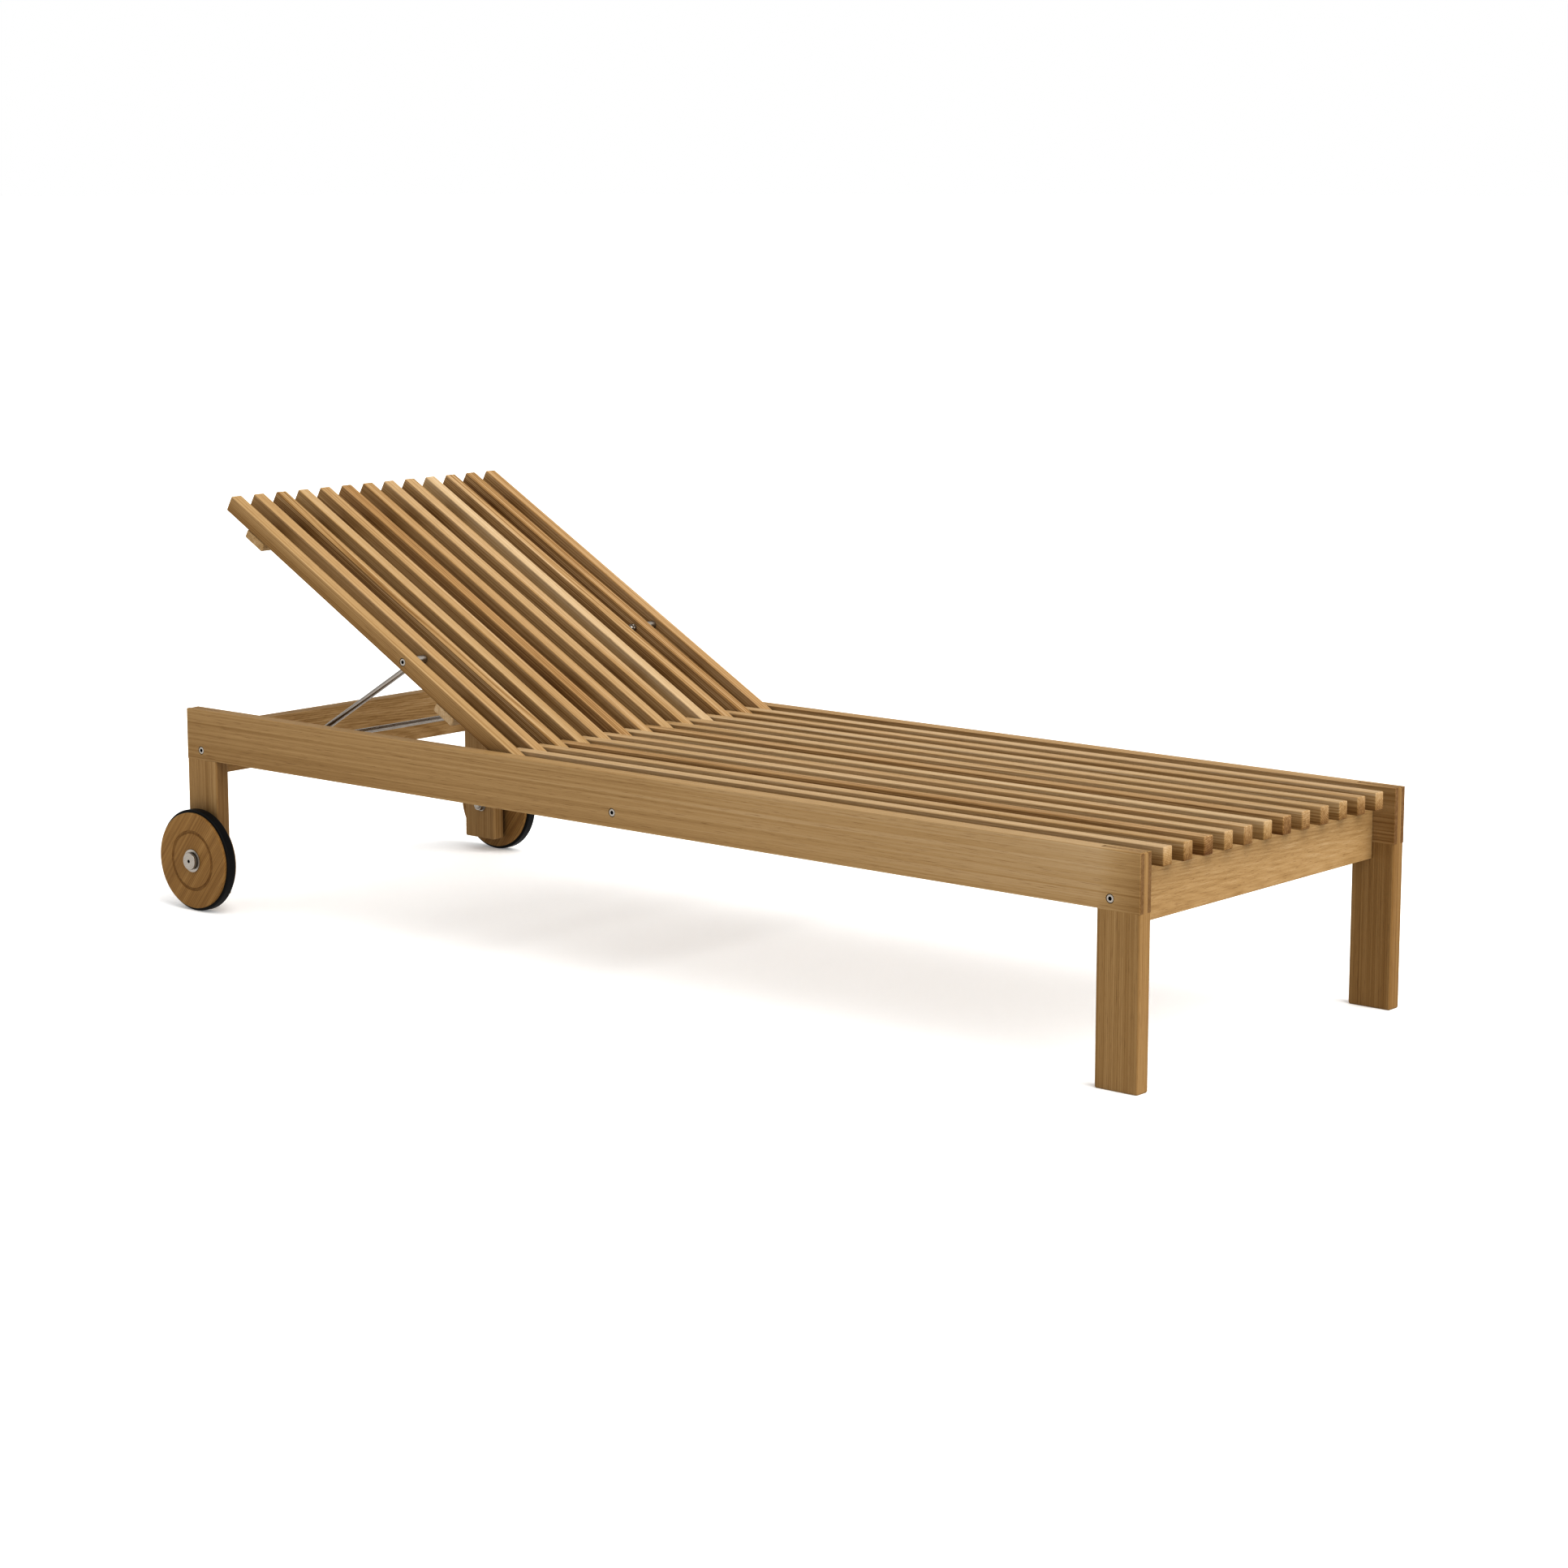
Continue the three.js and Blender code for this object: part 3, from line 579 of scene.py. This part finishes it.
def make_timber():
    for word in SIDES:
        node = f"side_rail_{word}"
        leg_low, leg_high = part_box(f"leg_foot_{word}")
        timber(node, "frame", "teak_frame", X, RAIL_ROUND, BOARD_TONES[node],
               flush=leg_high.x - leg_low.x, fade=RAIL_PAINTED_LIGHT, sink=RAIL_UNDER_SHADE, ends=RAIL_ENDS,
               tip=RAIL_TIP)
        for end in ("foot", "head"):
            node = f"leg_{end}_{word}"
            timber(node, "frame", "teak_frame", Z, LEG_ROUND, BOARD_TONES[node],
                   heart=SHADED_FOOT_FACES.get(node, 0.0))
    for place in ("foot", "middle", "head"):
        node = f"cross_rail_{place}"
        timber(node, "frame", "teak_frame", Y, CROSS_ROUND, BOARD_TONES[node], tilt=CROSS_TILT)
    for number, node in enumerate(slats("seat"), start=1):
        *tone, ends = SEAT_TONES[number]
        timber(node, "frame", "teak_slats", X, SLAT_ROUND, tone, sink=SEAT_UNDER_SHADE, ends=ends)
    turn = level_back()
    for number, node in enumerate(slats("back"), start=1):
        timber(node, "back", "teak_slats", X, SLAT_ROUND, BACK_TONES[number], turn=turn,
               sink=BACK_UNDER_SHADE)
    for place in ("upper", "lower"):
        node = f"back_batten_{place}"
        timber(node, "back", "teak_slats", Y, BATTEN_ROUND, BOARD_TONES[node], turn=turn)


# ---- turned parts -------------------------------------------------------------------------------
def arc(centre, radius, start, end, steps=6):
    """Points on an arc in a profile plane, angles in degrees."""
    points = []
    for i in range(steps + 1):
        angle = math.radians(start + (end - start) * i / steps)
        points.append((centre[0] + radius * math.cos(angle), centre[1] + radius * math.sin(angle)))
    return points


def outward(centre, side):
    """The place of a turned part: its local Z points out of the frame on that side, and its local
    heights are distances from the middle of the lounger."""
    turn = Matrix.Rotation(-side * math.pi / 2, 4, "X")
    return Matrix.Translation((centre[0], 0, centre[2])) @ turn


def add_ring(bm, place, radius, height, sides):
    """A loop of vertices. The radius is a number or a function of the angle."""
    loop = []
    for i in range(sides):
        angle = math.tau * i / sides
        r = radius(angle) if callable(radius) else radius
        point = Vector((r * math.cos(angle), r * math.sin(angle), height))
        loop.append(bm.verts.new(place @ point))
    return loop


def skin(bm, rings, closed, shaded_bands=0):
    """Joins loops of vertices with faces. A loop of one vertex is a point on the axis. The last
    bands, as many as the last argument says, get the second material: painted shade for a socket or
    a hole."""
    sides = max(len(ring) for ring in rings)
    for band, (a, b) in enumerate(zip(rings, rings[1:] + rings[:1] if closed else rings[1:])):
        for i in range(sides):
            j = (i + 1) % sides
            corners = [a[i % len(a)], a[j % len(a)], b[j % len(b)], b[i % len(b)]]
            corners = list(dict.fromkeys(corners))
            if len(corners) > 2:
                bm.faces.new(corners).material_index = int(band >= len(rings) - 1 - shaded_bands)


def turned(bm, profile, place, sides=TURNED_SIDES, shaded_bands=0):
    """A solid of revolution from (radius, height) pairs, which end on the axis or form a loop."""
    rings = []
    for radius, height in profile:
        if radius == 0:
            rings.append([bm.verts.new(place @ Vector((0, 0, height)))])
        else:
            rings.append(add_ring(bm, place, radius, height, sides))
    skin(bm, rings, len(rings[0]) > 1 and len(rings[-1]) > 1, shaded_bands)


def hexagon(flats):
    """The radius of a hexagon with that distance across its flats, as a function of the angle."""
    return lambda angle: flats / 2 / math.cos((angle % (math.pi / 3)) - math.pi / 6)


def thread(radius, start, end, pitch=1.25 * MM):
    """Profile points of a screw thread, drawn as rings."""
    points = []
    count = max(1, round((end - start) / pitch))
    for i in range(count):
        low = start + (end - start) * i / count
        points.append((radius * THREAD_ROOT, low))
        points.append((radius, low + (end - start) / count / 2))
    points.append((radius * THREAD_ROOT, end))
    return points


def hex_nut(bm, place, flats, bore, low, high):
    """A nut with its corners chamfered on both faces."""
    sides = 48
    corner = hexagon(flats)
    chamfer = flats * 0.06

    def clipped(angle):
        return min(corner(angle), flats * 0.515)

    rings = [
        add_ring(bm, place, bore, low, sides),
        add_ring(bm, place, clipped, low, sides),
        add_ring(bm, place, corner, low + chamfer, sides),
        add_ring(bm, place, corner, high - chamfer, sides),
        add_ring(bm, place, clipped, high, sides),
        add_ring(bm, place, bore, high, sides),
    ]
    skin(bm, rings, closed=True)


def socket_bolt(bm, place, shank, tip, face):
    """A bolt with a flat round head, a hexagon socket and a threaded end."""
    sides = 48
    shoulder = face - HEAD_DEPTH
    edge = 0.55 * MM
    profile = [(shank * TIP_TAPER, tip)]
    profile += thread(shank, tip + 0.6 * MM, tip + BOLT_THREAD)
    profile += [(shank, tip + BOLT_THREAD + MM), (shank, shoulder), (HEAD_RADIUS, shoulder)]
    profile += arc((HEAD_RADIUS - edge, face - edge), edge, 0, 90, 4)
    rings = [[bm.verts.new(place @ Vector((0, 0, tip)))]]
    rings += [add_ring(bm, place, radius, height, sides) for radius, height in profile]
    mouth = hexagon(SOCKET_FLATS)
    rings += [add_ring(bm, place, mouth, height, sides) for height in (face, face - SOCKET_DEPTH)]
    rings.append([bm.verts.new(place @ Vector((0, 0, face - SOCKET_DEPTH - 0.8 * MM)))])
    # the socket's walls and floor are painted shade
    skin(bm, rings, closed=False, shaded_bands=2)


def screw_head(bm, place, radius, face):
    """A countersunk screw head with a hexagon socket, its face at that height."""
    sides = 36
    mouth = hexagon(radius * 0.8)
    rings = [
        [bm.verts.new(place @ Vector((0, 0, face - radius * 0.9)))],
        add_ring(bm, place, radius * 0.35, face - radius * 0.7, sides),
        add_ring(bm, place, radius * 0.96, face - 0.3 * MM, sides),
        add_ring(bm, place, radius, face - 0.1 * MM, sides),
        add_ring(bm, place, radius * 0.95, face, sides),
        add_ring(bm, place, mouth, face, sides),
        add_ring(bm, place, mouth, face - radius * 0.45, sides),
        [bm.verts.new(place @ Vector((0, 0, face - radius * 0.5)))],
    ]
    # the socket's walls and floor are painted shade
    skin(bm, rings, closed=False, shaded_bands=2)


def add_steel(name, bm, body, nodes=()):
    """A steel fastener."""
    add_object(name, bm, STEEL_PART, body, nodes, 35)


# ---- wheels and axles ---------------------------------------------------------------------------
def out_range(node):
    """Lowest and highest distance of a node from the middle plane."""
    low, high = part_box(node)
    return sorted((abs(low.y), abs(high.y)))


def paint_cove_shade(bm, place, outer):
    """Paints shade into the ring groove in a wheel's face, through the end-grain mask."""
    end = bm.faces.layers.float["end"]
    to_wheel = place.inverted()
    for face in bm.faces:
        centre = to_wheel @ face.calc_center_median()
        in_cove = abs(math.hypot(centre.x, centre.y) - COVE_RADIUS) < COVE_WIDTH / 2
        if in_cove and outer - COVE_DEPTH - MM < centre.z < outer - 0.1 * MM:
            face[end] = COVE_SHADE


def wheel_place(word):
    return outward(JOINTS[f"wheel_spin_{word}"]["pos_m"], SIDES[word])


def rim_radius(node):
    low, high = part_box(node)
    return (high.z - low.z) / 2


def make_disc(word):
    """The turned wooden disc with its ring groove."""
    node = f"wheel_disc_{word}"
    inner, outer = out_range(node)
    rim = rim_radius(node)
    bore = AXLE_RADIUS + 0.6 * MM
    ease = 1.6 * MM
    cove = COVE_WIDTH / 2
    radius = (cove * cove + COVE_DEPTH * COVE_DEPTH) / (2 * COVE_DEPTH)
    half = math.degrees(math.asin(cove / radius))
    profile = [(bore, inner)]
    profile += arc((rim - ease, inner + ease), ease, -90, 0)
    profile += arc((rim - ease, outer - ease), ease, 0, 90)
    profile += arc((COVE_RADIUS, outer + radius * math.cos(math.radians(half))), radius,
                   -90 + half, -90 - half, 12)
    profile += [(bore + 0.5 * MM, outer), (bore, outer - 0.5 * MM)]
    place = wheel_place(word)
    bm = bmesh.new()
    turned(bm, profile, place, WHEEL_SIDES)
    grain = Vector((math.cos(WHEEL_GRAIN), 0, math.sin(WHEEL_GRAIN)))
    paint_grain(bm, grain, f"wheel_{word}", WHEEL_TONE)
    # painted shade in the ring groove
    paint_cove_shade(bm, place, outer)
    add_object(f"wheel_{word}_timber", bm, TEAK_WHEEL, f"wheel_{word}", [node], 30)


def make_tyre(word):
    node = f"wheel_tyre_{word}"
    inner, outer = out_range(node)
    radius = rim_radius(node)
    shoulder = 2.2 * MM
    seat = rim_radius(f"wheel_disc_{word}") + 0.1 * MM
    profile = [(seat, inner)]
    profile += arc((radius - shoulder, inner + shoulder), shoulder, -90, 0)
    profile += arc((radius - shoulder, outer - shoulder), shoulder, 0, 90)
    profile += [(seat, outer)]
    bm = bmesh.new()
    turned(bm, profile, wheel_place(word), WHEEL_SIDES)
    add_object(f"wheel_{word}_tyre", bm, RUBBER, f"wheel_{word}", [node], 50)


def make_axle_bolt(word):
    """The bolt that the wheel turns on, with a collar between leg and wheel and a cap head."""
    node = f"axle_bolt_{word}"
    leg_inner, leg_outer = out_range(f"leg_head_{word}")
    tip, top = out_range(node)
    wheel_inner, _ = out_range(f"wheel_disc_{word}")
    _, washer_high = out_range(f"axle_washer_{word}")
    clear = 0.3 * MM
    edge = 0.9 * MM
    under_head = washer_high + clear
    neck = CAP_RADIUS - CAP_NECK
    profile = [(0, tip), (AXLE_RADIUS * TIP_TAPER, tip)]
    profile += thread(AXLE_RADIUS, tip + 0.8 * MM, leg_inner - clear, 1.75 * MM)
    profile += [(AXLE_RADIUS, leg_inner), (AXLE_RADIUS, leg_outer + clear)]
    profile += [(COLLAR_RADIUS, leg_outer + clear), (COLLAR_RADIUS, wheel_inner - clear)]
    profile += [(AXLE_RADIUS, wheel_inner - clear), (AXLE_RADIUS, under_head)]
    profile += [(neck, under_head), (neck, under_head + CAP_NECK)]
    profile += [(CAP_RADIUS, under_head + CAP_NECK)]
    profile += arc((CAP_RADIUS - edge, top - edge), edge, 0, 90, 5)
    profile += [(CAP_HOLE, top), (CAP_HOLE, top - 3 * MM), (0, top - 3.6 * MM)]
    bm = bmesh.new()
    # the cap's hole is painted shade
    turned(bm, profile, wheel_place(word), 72, shaded_bands=2)
    add_steel(f"axle_{word}_bolt", bm, "frame", [node])


def make_axle_washer(word):
    node = f"axle_washer_{word}"
    low, high = out_range(node)
    profile = [(WASHER_BORE, low), (WASHER_RADIUS - WASHER_LIP, low)]
    profile += [(WASHER_RADIUS, low + WASHER_LIP), (WASHER_RADIUS, high - WASHER_LIP)]
    profile += [(WASHER_RADIUS - WASHER_LIP, high), (WASHER_BORE, high)]
    bm = bmesh.new()
    turned(bm, profile, wheel_place(word), 72)
    add_steel(f"axle_{word}_washer", bm, "frame", [node])


def make_axle_nut(word):
    """The nut inside the leg, with a round plate between it and the timber."""
    node = f"axle_nut_{word}"
    low, high = out_range(node)
    place = wheel_place(word)
    under = high - NUT_PLATE
    bm = bmesh.new()
    hex_nut(bm, place, AXLE_NUT_FLATS, AXLE_RADIUS + 0.3 * MM, low, under)
    profile = [(WASHER_BORE, under), (NUT_PLATE_RADIUS - 0.4 * MM, under)]
    profile += [(NUT_PLATE_RADIUS, under + WASHER_LIP), (NUT_PLATE_RADIUS, high)]
    profile += [(WASHER_BORE, high)]
    turned(bm, profile, place, 60)
    add_steel(f"axle_{word}_nut", bm, "frame", [node])


# ---- rail bolts, hinge rod, bail ----------------------------------------------------------------
def make_rail_bolt(place_name, word):
    """The bolt through the rail into a cross rail, and the barrel nut that it turns into."""
    node = f"rail_bolt_{place_name}_{word}"
    side = SIDES[word]
    low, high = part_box(node)
    tip, face = out_range(node)
    centre = (low + high) / 2
    bm = bmesh.new()
    socket_bolt(bm, outward(centre, side), RAIL_BOLT_RADIUS, tip, face)
    barrel_y = side * (out_range(f"side_rail_{word}")[0] - BARREL_INSET)
    edge = 0.6 * MM
    profile = [(0, low.z), (BARREL_RADIUS - edge, low.z), (BARREL_RADIUS, low.z + edge)]
    profile += [(BARREL_RADIUS, high.z - edge), (BARREL_RADIUS - edge, high.z), (0, high.z)]
    turned(bm, profile, Matrix.Translation((centre.x, barrel_y, 0)), 36)
    add_steel(f"{node}_fine", bm, "frame", [node])


def make_hinge():
    """The rod through all the slats, and the washers that space them on it."""
    low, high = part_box("hinge_rod")
    place = outward(HINGE, 1)
    bevel = 0.8 * MM
    bm = bmesh.new()
    profile = [(0, low.y), (ROD_RADIUS - bevel, low.y), (ROD_RADIUS, low.y + bevel)]
    profile += [(ROD_RADIUS, high.y - bevel), (ROD_RADIUS - bevel, high.y), (0, high.y)]
    turned(bm, profile, place, 40)
    add_object("hinge_rod_fine", bm, STEEL_ROD, "frame", ["hinge_rod"], 35)

    spans = sorted((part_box(n)[0].y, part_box(n)[1].y) for n in (*slats("seat"), *slats("back")))
    slack = 0.35 * MM
    bore = ROD_RADIUS + 0.4 * MM
    bm = bmesh.new()
    for (_, end), (start, _) in zip(spans, spans[1:]):
        from_y, to_y = end + slack, start - slack
        profile = [(bore, from_y), (SPACER_RADIUS, from_y), (SPACER_RADIUS, to_y), (bore, to_y)]
        turned(bm, profile, place, 32)
    add_object("hinge_spacers", bm, NYLON, "frame", (), 35)


def make_bail():
    """The arms and the crossbar in one piece, and the pivot sleeves in another."""
    low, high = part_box("support_bail")
    bar = Vector((low.x + BAIL_ROD, 0, low.z + BAIL_ROD))
    pivot = Vector((BAIL_PIVOT.x, 0, BAIL_PIVOT.z))
    reach = bar - pivot
    arm_y = (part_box("back_slat_12")[1].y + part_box("back_slat_13")[0].y) / 2
    bm = bmesh.new()
    end = 1.2 * MM
    profile = [(0, low.y)] + arc((BAIL_ROD - end, low.y + end), end, -90, 0, 4)
    profile += arc((BAIL_ROD - end, high.y - end), end, 0, 90, 4) + [(0, high.y)]
    turned(bm, profile, outward(bar, 1), 40)
    to_bar = reach.to_track_quat("Z", "Y").to_matrix().to_4x4()
    start, stop = SLEEVE_RADIUS - 1.5 * MM, reach.length
    lip = 0.8 * MM
    sleeves = bmesh.new()
    for side in (-1, 1):
        y = side * arm_y
        place = Matrix.Translation(pivot + Vector((0, y, 0))) @ to_bar
        turned(bm, [(0, start), (BAIL_ROD, start), (BAIL_ROD, stop), (0, stop)], place, 40)
        for height in (SLEEVE_RADIUS + 0.6 * MM, stop - BAIL_ROD - 0.4 * MM):
            turned(bm, arc((BAIL_ROD - 0.2 * MM, height), BEAD_RADIUS, 0, 330, 9), place, 40)
        from_y, to_y = y - SLEEVE_LENGTH / 2, y + SLEEVE_LENGTH / 2
        profile = [(SLEEVE_BORE, from_y), (SLEEVE_RADIUS - lip, from_y)]
        profile += [(SLEEVE_RADIUS, from_y + lip), (SLEEVE_RADIUS, to_y - lip)]
        profile += [(SLEEVE_RADIUS - lip, to_y), (SLEEVE_BORE, to_y)]
        turned(sleeves, profile, outward(pivot, 1), 48)
    add_object("bail_rods", bm, STEEL_ROD, "bail", ["support_bail"], 35)
    add_object("bail_sleeves", sleeves, STEEL_PART, "bail", (), 35)


def make_bail_bolt(word):
    """The bolt and nut that one arm of the bail swings on."""
    place = outward(BAIL_PIVOT, SIDES[word])
    tip, face = out_range(f"bail_bolt_{word}")
    bm = bmesh.new()
    socket_bolt(bm, place, BAIL_BOLT_RADIUS, tip, face)
    add_steel(f"bail_bolt_{word}_fine", bm, "back", [f"bail_bolt_{word}"])
    low, high = out_range(f"bail_nut_{word}")
    bm = bmesh.new()
    hex_nut(bm, place, BAIL_NUT_FLATS, BAIL_BOLT_RADIUS + 0.3 * MM, low, high)
    add_steel(f"bail_nut_{word}_fine", bm, "back", [f"bail_nut_{word}"])


def make_rack(word):
    """The notched rail that the crossbar rests in. Its teeth stand beside the bar at the rest and
    the steepest position, and its head end is low, where the bar lies when the back is flat."""
    node = f"rack_{word}"
    low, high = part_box(node)
    bail_low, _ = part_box("support_bail")
    bar_x, bar_z = bail_low.x + BAIL_ROD, bail_low.z + BAIL_ROD
    tip = bar_z + TOOTH_RISE
    centre_z = bar_z + 0.4 * MM
    lift = math.degrees(math.asin((tip - centre_z) / NOTCH_RADIUS))
    corner = 2 * MM
    notches = [bar_x + step * NOTCH_PITCH for step in range(-1, 4)]
    points = [(low.x, low.z), (high.x, low.z), (high.x, tip - corner)]
    points += arc((high.x - corner, tip - corner), corner, 0, 90, 3)
    for x in reversed(notches):
        points += arc((x, centre_z), NOTCH_RADIUS, lift, -180 - lift, 14)
    shoulder = notches[0] - 12 * MM
    points += [(shoulder, tip), (shoulder - 8 * MM, high.z), (low.x, high.z)]
    bm = bmesh.new()
    rings = [[bm.verts.new((x, y, z)) for x, z in points] for y in (low.y, high.y)]
    skin(bm, rings, closed=False)
    for ring in rings:
        bm.faces.new(ring)
    bmesh.ops.recalc_face_normals(bm, faces=bm.faces)
    paint_grain(bm, X, node, RACK_TONE)
    add_object(f"{node}_timber", bm, TEAK, "frame", [node], 30)

    face, _ = out_range(node)
    bm = bmesh.new()
    for notch in (notches[0], notches[2], notches[3]):
        centre = Vector((notch + NOTCH_PITCH / 2, 0, low.z + 10 * MM))
        screw_head(bm, outward(centre, -SIDES[word]), RACK_SCREW_RADIUS, -face + SCREW_RISE)
    add_steel(f"rack_screws_{word}", bm, "frame")


def make_batten_screws():
    turn = level_back()
    down = Matrix.Rotation(math.pi, 4, "X")
    for name in ("upper", "lower"):
        node = f"back_batten_{name}"
        corners = [turn @ v.co for v in frame["nodes"][node].data.vertices]
        x = sum(c.x for c in corners) / len(corners)
        bottom = min(c.z for c in corners)
        bm = bmesh.new()
        for slat in slats("back"):
            low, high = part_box(slat)
            spot = Matrix.Translation((x, (low.y + high.y) / 2, 0))
            screw_head(bm, turn.inverted() @ spot @ down, BATTEN_SCREW_RADIUS, -bottom + SCREW_RISE)
        add_steel(f"batten_screws_{name}", bm, "back")


# ---- build --------------------------------------------------------------------------------------
make_camera()
make_light()
make_floor()
make_timber()
make_hinge()
make_bail()
for word in SIDES:
    make_bail_bolt(word)
make_batten_screws()
for word in SIDES:
    make_disc(word)
    make_tyre(word)
    make_axle_bolt(word)
    make_axle_washer(word)
    make_axle_nut(word)
    make_rack(word)
    for place_name in ("foot", "middle", "head"):
        make_rail_bolt(place_name, word)
